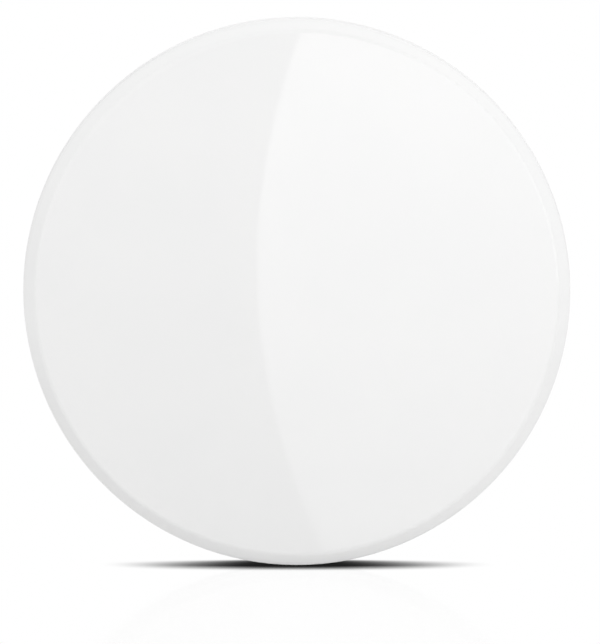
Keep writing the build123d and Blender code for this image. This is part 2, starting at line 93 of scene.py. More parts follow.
def vector(tree, operation, first, second=(0.0, 0.0, 0.0)):
    """One sum on two vectors. A length and a dot product are numbers, all others are vectors."""
    node = add(tree, "ShaderNodeVectorMath", {"operation": operation}, {0: first, 1: second})
    return node.outputs["Value" if operation in ("LENGTH", "DOT_PRODUCT") else "Vector"]


def split(tree, place):
    """The X, Y and Z of a vector."""
    return add(tree, "ShaderNodeSeparateXYZ", {}, {0: place}).outputs


def ramp(tree, value, start, end, low=0.0, high=1.0):
    """A soft step: low before start, high after end, and an S-shaped curve between them."""
    feeds = {"Value": value, "From Min": start, "From Max": end, "To Min": low, "To Max": high}
    return add(tree, "ShaderNodeMapRange", {"interpolation_type": "SMOOTHSTEP"}, feeds).outputs[0]


def blend_colours(tree, share, first, second):
    """The first colour where the share is 0, the second where it is 1."""
    settings = {"data_type": "RGBA", "clamp_factor": True}
    return add(tree, "ShaderNodeMix", settings, {0: share, 6: first, 7: second}).outputs[2]


def noise(tree, place, size, detail=3.0):
    """Soft cloudy noise from 0 to 1 whose lumps are about the given size, in metres."""
    scale = calculate(tree, "DIVIDE", 1.0, size)
    feeds = {"Vector": place, "Scale": scale, "Detail": detail}
    return add(tree, "ShaderNodeTexNoise", {}, feeds).outputs[0]


print("helpers for nodes ready")

# %% [markdown]
# The next helpers start what the nodes stand in: a group with named sockets, or a material. Every
# pattern reads object coordinates. Each piece of this model has its origin at the centre of the
# disc's back, so those coordinates are metres in the same frame for all pieces, and a pattern
# keeps its real size on every one of them.
# %% Helpers for groups and materials


def start_group(name, inputs, outputs, kind="ShaderNodeTree"):
    """Starts a node group with named sockets, and returns it with those that it is given and those
    that it has to fill."""
    group = bpy.data.node_groups.new(name, kind)
    kinds = {"place": "NodeSocketVector", "colour": "NodeSocketColor", "number": "NodeSocketFloat",
             "shape": "NodeSocketGeometry"}
    for label, sort in inputs.items():
        group.interface.new_socket(label, in_out="INPUT", socket_type=kinds[sort])
    for label, sort in outputs.items():
        group.interface.new_socket(label, in_out="OUTPUT", socket_type=kinds[sort])
    return group, group.nodes.new("NodeGroupInput").outputs, group.nodes.new("NodeGroupOutput").inputs


def spaced(feeds):
    """The same feeds with spaces for underscores, as Blender writes the names of its sockets."""
    return {label.replace("_", " "): value for label, value in feeds.items()}


def use(tree, group, **feeds):
    """Places a group in a material with its own values."""
    return add(tree, "ShaderNodeGroup", {"node_tree": group}, spaced(feeds)).outputs


def start_material(name):
    """A material whose node tree is still empty."""
    material = bpy.data.materials.new(name)
    material.use_nodes = True
    material.node_tree.nodes.clear()
    return material, material.node_tree


def show(tree, shader):
    """Makes a shader the surface of its material."""
    add(tree, "ShaderNodeOutputMaterial", {}, {"Surface": shader.outputs[0]})


def object_place(tree):
    """Coordinates in metres from the piece's own origin."""
    return tree.nodes.new("ShaderNodeTexCoord").outputs["Object"]


def start_finish(name, **constants):
    """A material with one Principled shader. Constants are set on the shader's own sockets."""
    material, tree = start_material(name)
    shader = add(tree, "ShaderNodeBsdfPrincipled", {}, spaced(constants))
    show(tree, shader)
    return material, tree, shader.inputs, object_place(tree)


print("helpers for groups and materials ready")

# %% [markdown]
# A moulded surface is never one even colour. Pigment clouds a little, the mould's polish leaves a
# slow ripple, and spark erosion leaves a fine grain. The first group makes cloudy colour and
# roughness, the second the relief. Relief is a height in metres, so that a bump node with a
# distance of 1 reads true sizes. They are groups because nearly every finish below needs both.
# %% Groups for clouded colour and for moulded relief
cloud_step = (0.35, 0.65)
finer_share = 0.37


def make_clouding():
    """Colour and roughness drift between two values with soft noise of a given size."""
    inputs = {"Place": "place", "Colour": "colour", "Second colour": "colour", "Size": "number",
              "Roughness": "number", "Roughness spread": "number"}
    group, given, made = start_group("clouding", inputs, {"Colour": "colour", "Roughness": "number"})
    cloud = ramp(group, noise(group, given["Place"], given["Size"]), *cloud_step)
    group.links.new(blend_colours(group, cloud, given["Colour"], given["Second colour"]), made["Colour"])
    finer = noise(group, given["Place"], calculate(group, "MULTIPLY", given["Size"], finer_share))
    shift = calculate(group, "MULTIPLY", calculate(group, "SUBTRACT", finer, 0.5), given["Roughness spread"])
    group.links.new(calculate(group, "ADD", given["Roughness"], shift), made["Roughness"])
    return group


def make_relief():
    """Height is a slow ripple plus a fine grain, each with its own size and depth in metres."""
    inputs = {"Place": "place", "Ripple size": "number", "Ripple depth": "number",
              "Grain size": "number", "Grain depth": "number"}
    group, given, made = start_group("moulded relief", inputs, {"Height": "number"})
    ripple = noise(group, given["Place"], given["Ripple size"], 0.0)
    grain = noise(group, given["Place"], given["Grain size"], 1.0)
    slow = calculate(group, "MULTIPLY", ripple, given["Ripple depth"])
    fine = calculate(group, "MULTIPLY", grain, given["Grain depth"])
    group.links.new(calculate(group, "ADD", slow, fine), made["Height"])
    return group


clouding = make_clouding()
relief = make_relief()
print("groups:", clouding.name, "and", relief.name)

# %% [markdown]
# The disc is turned, so much of what happens on it happens in rings: dust gathers at the parting
# line, where the key's edge also gets a thin painted shade, a moulding shows the round marks of
# the ejector pins, and a board has rings of plated holes. One group measures the distance from the
# disc's axis and returns a soft ring mask. The other folds the circle into equal wedges and
# returns a dot in each, which costs the same for four dots as for forty.
# %% Groups for rings and for dots set round the axis
dot_core = 0.85


def square_to_axis(tree, place):
    """The part of a vector that is square to the disc's axis, which is the Y axis."""
    return vector(tree, "MULTIPLY", place, (1.0, 0.0, 1.0))


def from_axis(tree, place):
    """The distance of a point from the disc's axis."""
    return vector(tree, "LENGTH", square_to_axis(tree, place))


def make_ring():
    """Mask is 1 on a ring of a given radius and half width, and falls to 0 over the softness."""
    inputs = {"Place": "place", "Radius": "number", "Half width": "number", "Softness": "number"}
    group, given, made = start_group("ring", inputs, {"Mask": "number"})
    away = calculate(group, "SUBTRACT", from_axis(group, given["Place"]), given["Radius"])
    away = calculate(group, "ABSOLUTE", away)
    outside = calculate(group, "ADD", given["Half width"], given["Softness"])
    group.links.new(ramp(group, away, given["Half width"], outside, 1.0, 0.0), made["Mask"])
    return group


def make_dots():
    """Mask is 1 in dots evenly set round the axis: the angle is folded into one wedge, and the
    distance to the dot in the middle of that wedge is compared with the dot's radius."""
    inputs = {"Place": "place", "Count": "number", "Ring radius": "number", "Dot radius": "number"}
    group, given, made = start_group("dots in a ring", inputs, {"Mask": "number"})
    parts = split(group, given["Place"])
    angle = calculate(group, "ARCTAN2", parts["Z"], parts["X"])
    wedge = calculate(group, "DIVIDE", 2 * math.pi, given["Count"])
    folded = calculate(group, "WRAP", angle, calculate(group, "DIVIDE", wedge, 2.0))
    group.links.new(calculate(group, "DIVIDE", wedge, -2.0), folded.node.inputs[2])
    radius = from_axis(group, given["Place"])
    along = calculate(group, "MULTIPLY", radius, calculate(group, "COSINE", folded))
    along = calculate(group, "SUBTRACT", along, given["Ring radius"])
    across = calculate(group, "MULTIPLY", radius, calculate(group, "SINE", folded))
    offset = add(group, "ShaderNodeCombineXYZ", {}, {"X": along, "Y": across})
    away = vector(group, "LENGTH", offset.outputs[0])
    edge = calculate(group, "MULTIPLY", given["Dot radius"], dot_core)
    group.links.new(ramp(group, away, edge, given["Dot radius"], 1.0, 0.0), made["Mask"])
    return group


ring = make_ring()
dots = make_dots()
print("groups:", ring.name, "and", dots.name)

# %% [markdown]
# The face is what the photograph shows: glossy white ABS, bright and a little cold, with a soft
# ripple that only shows where a reflection bends. It could be a clear coat over a matt base, but
# moulded ABS shines by itself, so one shader with a very low roughness is right. Towards the
# parting line the colour greys slightly. That grey is partly dust that settles in the gap and
# partly painted shade for the thin edge, which lets less light back. The greying is a ring mask,
# so it follows the edge exactly.
# %% Glossy white for the key


def bump(tree, height):
    """A bump node that reads a height in metres."""
    return add(tree, "ShaderNodeBump", {}, {"Height": height, "Distance": 1.0}).outputs[0]


def glossy_white():
    """Polished white moulding with a greyed edge that is partly dust and partly painted shade."""
    material, tree, shader, place = start_finish("polished_white", IOR=1.5)
    tone = use(tree, clouding, Place=place, Colour=(0.868, 0.868, 0.866, 1), Size=14 * MM,
               Second_colour=(0.858, 0.859, 0.858, 1), Roughness=0.012, Roughness_spread=0.01)
    # The grey ring at the key's edge is partly dust and partly painted shade.
    edge_ring = use(tree, ring, Place=place, Radius=key_radius, Half_width=0.1 * MM, Softness=0.3 * MM)
    share = calculate(tree, "MULTIPLY", edge_ring["Mask"], 0.05)
    colour = blend_colours(tree, share, tone["Colour"], grey(0.5))
    skin = use(tree, relief, Place=place, Ripple_size=9 * MM, Ripple_depth=0.0012 * MM,
               Grain_size=0.6 * MM, Grain_depth=0.00003 * MM)
    tree.links.new(colour, shader["Base Color"])
    tree.links.new(tone["Roughness"], shader["Roughness"])
    tree.links.new(bump(tree, skin["Height"]), shader["Normal"])
    return material


def give(material, *nodes):
    """Puts a finish in the material slot of each of these pieces of the frame."""
    for name in nodes:
        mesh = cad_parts[name].data
        mesh.materials.clear()
        mesh.materials.append(material)
    print(material.name, "on", ", ".join(nodes))


give(glossy_white(), "front_cap")

# %% [markdown]
# A gloss shows every small error of a mesh's normals. The crowned face is part of a large ball, and
# its mesh has two points at the very middle whose normals lean, which would leave a smudge there.
# The shape is right, so it stays as it is. A geometry nodes modifier only gives the crown's corners
# the exact normal of the ball, and all others keep their own.
# %% Exact normals for the crowned face
edge_band = 1.2 * MM
crown_rise = 0.6 * MM
normal_margin = 0.2 * MM


def make_ball_normals():
    """The normal of a crown points away from the middle of its ball, whose radius is that of an
    arc with the face's half width and rise."""
    shape = {"Geometry": "shape"}
    group, given, made = start_group("ball normals", shape, shape, "GeometryNodeTree")
    face = key_radius - edge_band
    ball = (face ** 2 + crown_rise ** 2) / (2 * crown_rise)
    place = group.nodes.new("GeometryNodeInputPosition").outputs[0]
    middle = (0.0, key_low.y + ball, 0.0)
    exact = vector(group, "NORMALIZE", vector(group, "SUBTRACT", place, middle))
    in_front = calculate(group, "LESS_THAN", split(group, place)["Y"], key_low.y + crown_rise)
    inside = calculate(group, "LESS_THAN", from_axis(group, place), face - normal_margin)
    crown = calculate(group, "MULTIPLY", in_front, inside)
    own = group.nodes.new("GeometryNodeInputNormal").outputs[0]
    normal = add(group, "ShaderNodeMix", {"data_type": "VECTOR"}, {0: crown, 4: own, 5: exact})
    feeds = {"Mesh": given["Geometry"], "Custom Normal": normal.outputs[1]}
    whole = add(group, "GeometryNodeSetMeshNormal", {"mode": "FREE", "domain": "CORNER"}, feeds)
    group.links.new(whole.outputs[0], made["Geometry"])
    return group


key_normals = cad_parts["front_cap"].modifiers.new("crown", "NODES")
key_normals.node_group = make_ball_normals()
print("modifier on front_cap:", key_normals.node_group.name)

# %% [markdown]
# The housing and the lid are moulded in the same white, but their moulds were spark eroded, not
# polished, so they are satin with an even, fine grain. The lid is held to the wall and handled
# least; its outer face shows four shallow ejector marks, and a little dust sits in the ring where
# lid and housing meet. Both come from one function, and only the numbers differ.
# %% Satin white for the housing and the lid
pin_ring, pin_radius, pin_depth = 0.82 * lid_radius, 1.6 * MM, 0.02 * MM


def satin_white(name, level, marks):
    """Spark-eroded white moulding with ejector marks and dust at the lid's edge."""
    material, tree, shader, place = start_finish(name, IOR=1.5)
    tone = use(tree, clouding, Place=place, Colour=grey(level), Second_colour=grey(level * 0.975),
               Size=6 * MM, Roughness=0.38, Roughness_spread=0.12)
    edge_ring = use(tree, ring, Place=place, Radius=lid_radius, Half_width=0.1 * MM, Softness=0.6 * MM)
    specks = ramp(tree, noise(tree, place, 0.4 * MM), 0.45, 0.7, 0.1, 0.45)
    share = calculate(tree, "MULTIPLY", edge_ring["Mask"], specks)
    colour = blend_colours(tree, share, tone["Colour"], (0.45, 0.44, 0.42, 1))
    pins = use(tree, dots, Place=place, Count=marks, Ring_radius=pin_ring, Dot_radius=pin_radius)
    sunk = calculate(tree, "MULTIPLY", pins["Mask"], -pin_depth)
    skin = use(tree, relief, Place=place, Ripple_size=7 * MM, Ripple_depth=0.004 * MM,
               Grain_size=0.16 * MM, Grain_depth=0.006 * MM)
    tree.links.new(colour, shader["Base Color"])
    tree.links.new(tone["Roughness"], shader["Roughness"])
    tree.links.new(bump(tree, calculate(tree, "ADD", skin["Height"], sunk)), shader["Normal"])
    return material


give(satin_white("eroded_white", 0.85, 8.0), "housing")
give(satin_white("eroded_white_lid", 0.83, 4.0), "rear_lid")

# %% [markdown]
# Foam is the one soft thing here. The pad that holds the button on the wall is die-cut from tape,
# so its faces are smooth and tacky while its cut edge shows open cells. Cells could be modelled,
# but at a quarter of a millimetre they would cost more faces than the rest of the button. A
# Voronoi pattern gives each cell a pit in height instead, and a darker colour in its middle as
# painted shade, and a mask by depth keeps the faces smoother than the edge.
# %% Foam finish
face_step = (0.86, 0.96)
face_cover, face_relief = 0.7, 0.25
edge_roughness, face_roughness = 0.85, 0.42


def make_cells():
    """Each Voronoi cell is a pit, deepest at its middle: in height, and in colour as painted shade."""
    inputs = {"Place": "place", "Cell size": "number", "Colour": "colour", "Pit colour": "colour",
              "Depth": "number"}
    group, given, made = start_group("foam cells", inputs, {"Colour": "colour", "Height": "number"})
    scale = calculate(group, "DIVIDE", 1.0, given["Cell size"])
    feeds = {"Vector": given["Place"], "Scale": scale}
    cells = add(group, "ShaderNodeTexVoronoi", {"feature": "SMOOTH_F1"}, feeds)
    wall = ramp(group, cells.outputs["Distance"], 0.1, 0.6)
    # The pit colour is painted shade in the hollow of each cell.
    group.links.new(blend_colours(group, wall, given["Pit colour"], given["Colour"]), made["Colour"])
    group.links.new(calculate(group, "MULTIPLY", wall, given["Depth"]), made["Height"])
    return group


cells = make_cells()


def foam(name, colour, pit, low, high):
    """Closed-cell foam between two depths, smooth on its faces and open on its cut edge."""
    material, tree, shader, place = start_finish(name, IOR=1.4, Sheen_Weight=0.15)
    open_cells = use(tree, cells, Place=place, Cell_size=0.22 * MM, Colour=colour, Pit_colour=pit,
                     Depth=0.06 * MM)
    middle, half = (low + high) / 2, (high - low) / 2
    off_middle = calculate(tree, "ABSOLUTE", calculate(tree, "SUBTRACT", split(tree, place)["Y"], middle))
    face = ramp(tree, off_middle, half * face_step[0], half * face_step[1])
    cover = calculate(tree, "MULTIPLY", face, face_cover)
    relief_left = ramp(tree, face, 0.0, 1.0, 1.0, face_relief)
    height = calculate(tree, "MULTIPLY", open_cells["Height"], relief_left)
    roughness = ramp(tree, face, 0.0, 1.0, edge_roughness, face_roughness)
    tree.links.new(blend_colours(tree, cover, open_cells["Colour"], colour), shader["Base Color"])
    tree.links.new(roughness, shader["Roughness"])
    tree.links.new(bump(tree, height), shader["Normal"])
    return material


print("group:", cells.name)

# %% [markdown]
# A foam disc is a turned surface: a profile of radius and depth, carried once round the axis. The
# profile runs from the middle of the back, over a cut edge that bulges, to the middle of the
# front. Numpy works out all points of the grid at once. Foam is also never cut true, so the edge
# wanders by a few hundredths of a millimetre, as a sum of three waves round the disc.
# %% Points of a foam disc
flat_steps, corner_steps, side_steps, turns = 12, 7, 9, 144
waves_round = ((3, 1.0, 0.4), (11, 0.6, 1.9), (29, 0.4, 0.0))
wander_share = 0.0008


def disc_grid(radius, back, front, edge, bulge, crown):
    """Points of a turned foam disc, one row for each ring. The edge is a quarter turn of radius
    edge at each rim with a side between them that swells by bulge in a half wave, and the front
    face rises by crown as one minus the square of its share of the radius. Each wave of the edge
    has a count round the disc, a height and a start, and fades inwards with the sixth power."""
    flat = np.linspace(0.0, 1.0, flat_steps)[:-1] * (radius - edge)
    corner = np.linspace(0.0, math.pi / 2, corner_steps)[:-1]
    side = np.linspace(0.0, 1.0, side_steps)
    rim = radius - edge + edge * np.sin(corner)
    swell = bulge * np.sin(math.pi * side)
    radii = np.concatenate([flat, rim, radius + swell, rim[::-1], flat[::-1]])
    back_rim = back - edge + edge * np.cos(corner)
    front_rim = front + edge - edge * np.cos(corner)
    side_depth = back - edge - side * (back - front - 2 * edge)
    rise = crown * (1 - (flat / radius) ** 2)
    depth = np.concatenate([np.full(flat.size, back), back_rim, side_depth, front_rim[::-1],
                            (front - rise)[::-1]])
    angle = np.linspace(0.0, 2 * math.pi, turns, endpoint=False)
    wander = sum(height * np.sin(count * angle + start) for count, height, start in waves_round)
    share = (radii[:, None] / radius) ** 6
    ring_radius = radii[:, None] * (1 + wander_share * wander[None, :] * share)
    return np.stack([ring_radius * np.cos(angle), np.repeat(depth[:, None], turns, 1),
                     ring_radius * np.sin(angle)], axis=-1)


print("a foam disc has", flat_steps + corner_steps - 2, "rings to each side of its cut edge")

# %% [markdown]
# A grid becomes a mesh by joining each point to its neighbours in the ring and in the next ring.
# The first and last ring are points on the axis, so each of them is one shared point with a fan of
# triangles, which closes the skin at both poles. The two discs take the places of the two foam
# nodes of the frame and ride on the lid's body.
# %% Foam pad on the wall and foam cushion on the lid
foam_room, cut_edge = 0.02 * MM, 0.1 * MM


def skin_over(name, grid, material):
    """A closed smooth mesh over a grid of rings, whose first and last ring lie on the axis."""
    rings, turns = grid.shape[:2]
    points = np.concatenate([grid[0, :1], grid[1:-1].reshape(-1, 3), grid[-1, :1]])
    index = 1 + np.arange((rings - 2) * turns).reshape(rings - 2, turns)
    after = np.roll(index, -1, axis=1)
    quads = np.stack([index[:-1], index[1:], after[1:], after[:-1]], axis=-1).reshape(-1, 4)
    first = np.stack([np.zeros(turns, int), index[0], after[0]], axis=-1)
    last = np.stack([after[-1], index[-1], np.full(turns, len(points) - 1)], axis=-1)
    mesh = bpy.data.meshes.new(name)
    mesh.from_pydata(points.tolist(), [], first.tolist() + quads.tolist() + last.tolist())
    mesh.shade_smooth()
    mesh.materials.append(material)
    piece = bpy.data.objects.new(name, mesh)
    bpy.context.scene.collection.objects.link(piece)
    print(name, "has", len(points), "points and", len(mesh.polygons), "faces")
    return piece


def foam_disc(name, node, colour, pit, crown):
    """A foam disc in the place of a soft node of the frame, on the lid that carries it."""
    low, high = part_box(node)
    finish = foam(name + "_foam", colour, pit, low.y, high.y)
    grid = disc_grid(high.x - foam_room, high.y, low.y + crown, cut_edge, foam_room / 2, crown)
    piece = skin_over(name, grid, finish)
    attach(piece, "wall_base")
    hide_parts(node)


# The pit colours are painted shade in the foam's open cells.
white_foam, white_pit_shade = (0.62, 0.62, 0.6, 1), (0.36, 0.36, 0.35, 1)
dark_foam, dark_pit_shade = (0.16, 0.16, 0.165, 1), (0.05, 0.05, 0.052, 1)
foam_disc("wall_pad", "adhesive_pad", white_foam, white_pit_shade, 0.0)
foam_disc("cushion", "cell_cushion", dark_foam, dark_pit_shade, 0.05 * MM)

# %% [markdown]
# The insides are only seen when the button is taken apart, yet each piece has a real finish,
# because a reader of the model will open it. Sheet metal comes from a roller, so its roughness is
# drawn out along one direction. That is noise read through coordinates squeezed along that
# direction, and the same group serves plated steel, spring steel and gilt contacts.
# %% Rolled metals
drawn_out = 20.0


def make_rolling():
    """Roughness and height from noise that is drawn out along Z."""
    inputs = {"Place": "place", "Size": "number", "Roughness": "number", "Roughness spread": "number",
              "Depth": "number"}
    group, given, made = start_group("rolled sheet", inputs, {"Roughness": "number", "Height": "number"})
    drawn = vector(group, "MULTIPLY", given["Place"], (1.0, 1.0, 1.0 / drawn_out))
    lines = noise(group, drawn, given["Size"], 2.0)
    shift = calculate(group, "MULTIPLY", calculate(group, "SUBTRACT", lines, 0.5), given["Roughness spread"])
    group.links.new(calculate(group, "ADD", given["Roughness"], shift), made["Roughness"])
    group.links.new(calculate(group, "MULTIPLY", lines, given["Depth"]), made["Height"])
    return group


rolling = make_rolling()


def rolled_metal(name, colour, second, roughness):
    """Plated sheet metal, clouded where fingers and solder flux have been."""
    material, tree, shader, place = start_finish(name, Metallic=1.0)
    tone = use(tree, clouding, Place=place, Colour=colour, Second_colour=second, Size=2.5 * MM,
               Roughness=roughness, Roughness_spread=0.1)
    lines = use(tree, rolling, Place=place, Size=0.08 * MM, Roughness=tone["Roughness"],
                Roughness_spread=0.16, Depth=0.0015 * MM)
    tree.links.new(tone["Colour"], shader["Base Color"])
    tree.links.new(lines["Roughness"], shader["Roughness"])
    tree.links.new(bump(tree, lines["Height"]), shader["Normal"])
    return material


give(rolled_metal("rolled_steel", (0.62, 0.62, 0.61, 1), (0.5, 0.5, 0.5, 1), 0.28),
     "board_screws", "coin_cell_can", "coin_cell_cap", "switch_cover", "radio_shield", "crystal")
give(rolled_metal("rolled_spring_steel", (0.42, 0.41, 0.39, 1), (0.33, 0.32, 0.31, 1), 0.34),
     "return_springs", "switch_dome")
give(rolled_metal("rolled_gilt", (0.83, 0.62, 0.28, 1), (0.72, 0.55, 0.3, 1), 0.25),
     "positive_contact", "negative_contact", "switch_terminals", "antenna")

# %% [markdown]
# A circuit board is green solder resist over copper. Where copper runs, the green is lighter and
# stands a little proud, and the plated holes are bare gold. Real routing can't be copied here, so
# the pattern is a maze: the board is divided into small cells, and each takes lines along one
# direction or the other by the cell's random value. One ring of plated holes follows the board's
# edge, as on a ground plane, and one lies further in. Gold shows through one mask in colour and in
# metal.
# %% Circuit board
patch_size = 3.4 * MM
track_pitch = 0.8 * MM
edge_holes = {"Count": 48.0, "Ring_radius": board_radius - 0.9 * MM, "Dot_radius": 0.3 * MM}
inner_holes = {"Count": 20.0, "Ring_radius": board_radius * 0.42, "Dot_radius": 0.35 * MM}


def tracks(tree, place):
    """Lines along X or along Z, chosen cell by cell with the random colour of a Voronoi pattern."""
    settings = {"feature": "F1", "distance": "CHEBYCHEV"}
    patch = add(tree, "ShaderNodeTexVoronoi", settings, {"Vector": place, "Scale": 1 / patch_size})
    parts = split(tree, place)
    turn = 2 * math.pi / track_pitch
    waves = [calculate(tree, "SINE", calculate(tree, "MULTIPLY", parts[axis], turn)) for axis in ("X", "Z")]
    along = ramp(tree, split(tree, patch.outputs["Color"])["X"], 0.49, 0.51)
    first = calculate(tree, "MULTIPLY", waves[0], calculate(tree, "SUBTRACT", 1.0, along))
    second = calculate(tree, "MULTIPLY", waves[1], along)
    return ramp(tree, calculate(tree, "ADD", first, second), 0.1, 0.35)


def board_finish():
    """Green solder resist over copper tracks, with rings of plated holes."""
    coat = {"Coat_Weight": 0.3, "Coat_Roughness": 0.2}
    material, tree, shader, place = start_finish("printed_board", IOR=1.5, **coat)
    tone = use(tree, clouding, Place=place, Colour=(0.012, 0.1, 0.035, 1), Size=5 * MM,
               Second_colour=(0.01, 0.08, 0.03, 1), Roughness=0.32, Roughness_spread=0.1)
    copper = tracks(tree, place)
    colour = blend_colours(tree, copper, tone["Colour"], (0.03, 0.19, 0.07, 1))
    outer = use(tree, dots, Place=place, **edge_holes)
    inner = use(tree, dots, Place=place, **inner_holes)
    holes = calculate(tree, "MAXIMUM", outer["Mask"], inner["Mask"])
    colour = blend_colours(tree, holes, colour, (0.8, 0.6, 0.25, 1))
    raised = calculate(tree, "MULTIPLY", copper, 0.02 * MM)
    tree.links.new(colour, shader["Base Color"])
    tree.links.new(holes, shader["Metallic"])
    tree.links.new(tone["Roughness"], shader["Roughness"])
    tree.links.new(bump(tree, raised), shader["Normal"])
    return material


give(board_finish(), "circuit_board")

# %% [markdown]
# Moulded parts of the insides differ in colour, in grain and in how clear they are. Black parts
# are glass-filled and matt, the holder is natural nylon, silicone is greyish and soft-looking,
# and the pressed filling of the cell is a dark powder. One function makes them all from two
# colours, a roughness and a grain, so that the list below reads like a bill of materials.
# %% Plastics, rubber and the cell's filling


def moulded(name, colour, second, roughness, grain, **constants):
    """A moulded or pressed material: clouded colour over a fine grain of a given depth."""
    material, tree, shader, place = start_finish(name, **constants)
    tone = use(tree, clouding, Place=place, Colour=colour, Second_colour=second, Size=1.8 * MM,
               Roughness=roughness, Roughness_spread=0.14)
    skin = use(tree, relief, Place=place, Ripple_size=2.5 * MM, Ripple_depth=0.002 * MM,
               Grain_size=0.12 * MM, Grain_depth=grain)
    tree.links.new(tone["Colour"], shader["Base Color"])
    tree.links.new(tone["Roughness"], shader["Roughness"])
    tree.links.new(bump(tree, skin["Height"]), shader["Normal"])
    return material


give(moulded("grey_silicone", (0.5, 0.51, 0.52, 1), (0.42, 0.43, 0.44, 1), 0.5, 0.002 * MM, Sheen_Weight=0.1),
     "lid_seal", "press_pad")
give(moulded("black_moulding", grey(0.018), grey(0.03), 0.45, 0.005 * MM),
     "switch_base", "switch_plunger", "radio_chip")
give(moulded("natural_nylon", (0.72, 0.7, 0.63, 1), (0.66, 0.64, 0.57, 1), 0.42, 0.003 * MM),
     "battery_holder", "coin_cell_gasket")
give(moulded("clear_acrylic", (0.97, 0.98, 0.98, 1), (0.94, 0.95, 0.95, 1), 0.12, 0.0005 * MM,
             Transmission_Weight=1.0, IOR=1.49), "light_pipe")
give(moulded("pressed_powder", grey(0.03), grey(0.06), 0.8, 0.012 * MM), "coin_cell_core")

# %% [markdown]
# The last few pieces are electronic parts a millimetre or two long. A chip capacitor is a tan
# ceramic bar whose ends are tinned. The ends are found by how far a point lies from the ring on
# which the parts stand, so one mask turns the ends to metal on all six at once. The light is a
# white moulding with a drop of yellow phosphor in its middle.
# %% Chip parts, reservoir capacitor and status light
store_low, store_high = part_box("reservoir_capacitor")
light_low, light_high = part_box("status_led")
store_middle = (store_low + store_high) / 2
light_middle = (light_low + light_high) / 2
parts_radius = math.hypot(store_middle.x, store_middle.z)
small_end, store_end, tin_edge = 0.45 * MM, 1.35 * MM, 0.05 * MM
drop_radius, drop_edge = 0.4 * MM, 0.08 * MM


def chip_part(name, body, end, end_start):
    """A ceramic bar whose ends turn to tin beyond a given distance from the parts' ring."""
    material, tree, shader, place = start_finish(name)
    tone = use(tree, clouding, Place=place, Colour=body, Second_colour=end, Size=0.9 * MM,
               Roughness=0.4, Roughness_spread=0.1)
    away = calculate(tree, "ABSOLUTE", calculate(tree, "SUBTRACT", from_axis(tree, place), parts_radius))
    tinned = ramp(tree, away, end_start, end_start + tin_edge)
    skin = use(tree, relief, Place=place, Ripple_size=0.8 * MM, Ripple_depth=0.002 * MM,
               Grain_size=0.1 * MM, Grain_depth=0.002 * MM)
    tree.links.new(blend_colours(tree, tinned, tone["Colour"], grey(0.66)), shader["Base Color"])
    tree.links.new(tinned, shader["Metallic"])
    tree.links.new(tone["Roughness"], shader["Roughness"])
    tree.links.new(bump(tree, skin["Height"]), shader["Normal"])
    return material


def light_finish():
    """White moulding with a round drop of phosphor over the middle of the light."""
    material, tree, shader, place = start_finish("light_moulding", IOR=1.5, Coat_Weight=0.4)
    centred = add(tree, "ShaderNodeMapping", {}, {"Vector": place, "Location": -light_middle})
    away = from_axis(tree, centred.outputs[0])
    drop = ramp(tree, away, drop_radius, drop_radius + drop_edge, 1.0, 0.0)
    tone = use(tree, clouding, Place=place, Colour=grey(0.8), Second_colour=grey(0.74), Size=0.5 * MM,
               Roughness=0.35, Roughness_spread=0.1)
    tree.links.new(blend_colours(tree, drop, tone["Colour"], (0.85, 0.72, 0.18, 1)), shader["Base Color"])
    tree.links.new(tone["Roughness"], shader["Roughness"])
    return material


give(chip_part("tan_ceramic", (0.42, 0.3, 0.19, 1), (0.36, 0.25, 0.16, 1), small_end), "small_parts")
give(chip_part("ochre_ceramic", (0.6, 0.4, 0.12, 1), (0.52, 0.35, 0.12, 1), store_end),
     "reservoir_capacitor")
give(light_finish(), "status_led")

# %% [markdown]
# The photograph is a studio shot on a white sweep: background and floor are pure white, the disc
# stands on its rim, and a dark lens of contact shadow lies under it. A floor lit to white would
# take more light than the object can bear. So, for rays from the camera, the floor is a plain
# white that an ambient occlusion node darkens where the disc closes off the light, with a faint
# mirror on top. For all other rays it is ordinary pale paint that bounces light. The shadow lies
# mostly in front of the disc, as if its light came from behind, so the occlusion is measured round
# a direction that leans to the back. The numbers were found by comparing renders with the
# photograph. The floor is one large triangle, because the occlusion node draws a faint line along
# any inner edge.
# %% Floor finish
shadow_lean = math.radians(60.0)
shadow_reach = 10 * MM
shadow_black, shadow_white = 0.32, 0.82
shadow_level = 0.012
shadow_samples = 64
mirror_share, mirror_roughness = 0.08, 0.06
paint_level = 0.86


def behind_the_scene(tree):
    """1 for rays that should meet the white background: camera, glossy and transmission rays."""
    path = tree.nodes.new("ShaderNodeLightPath").outputs
    seen = calculate(tree, "MAXIMUM", path["Is Camera Ray"], path["Is Glossy Ray"])
    return calculate(tree, "MAXIMUM", seen, path["Is Transmission Ray"])


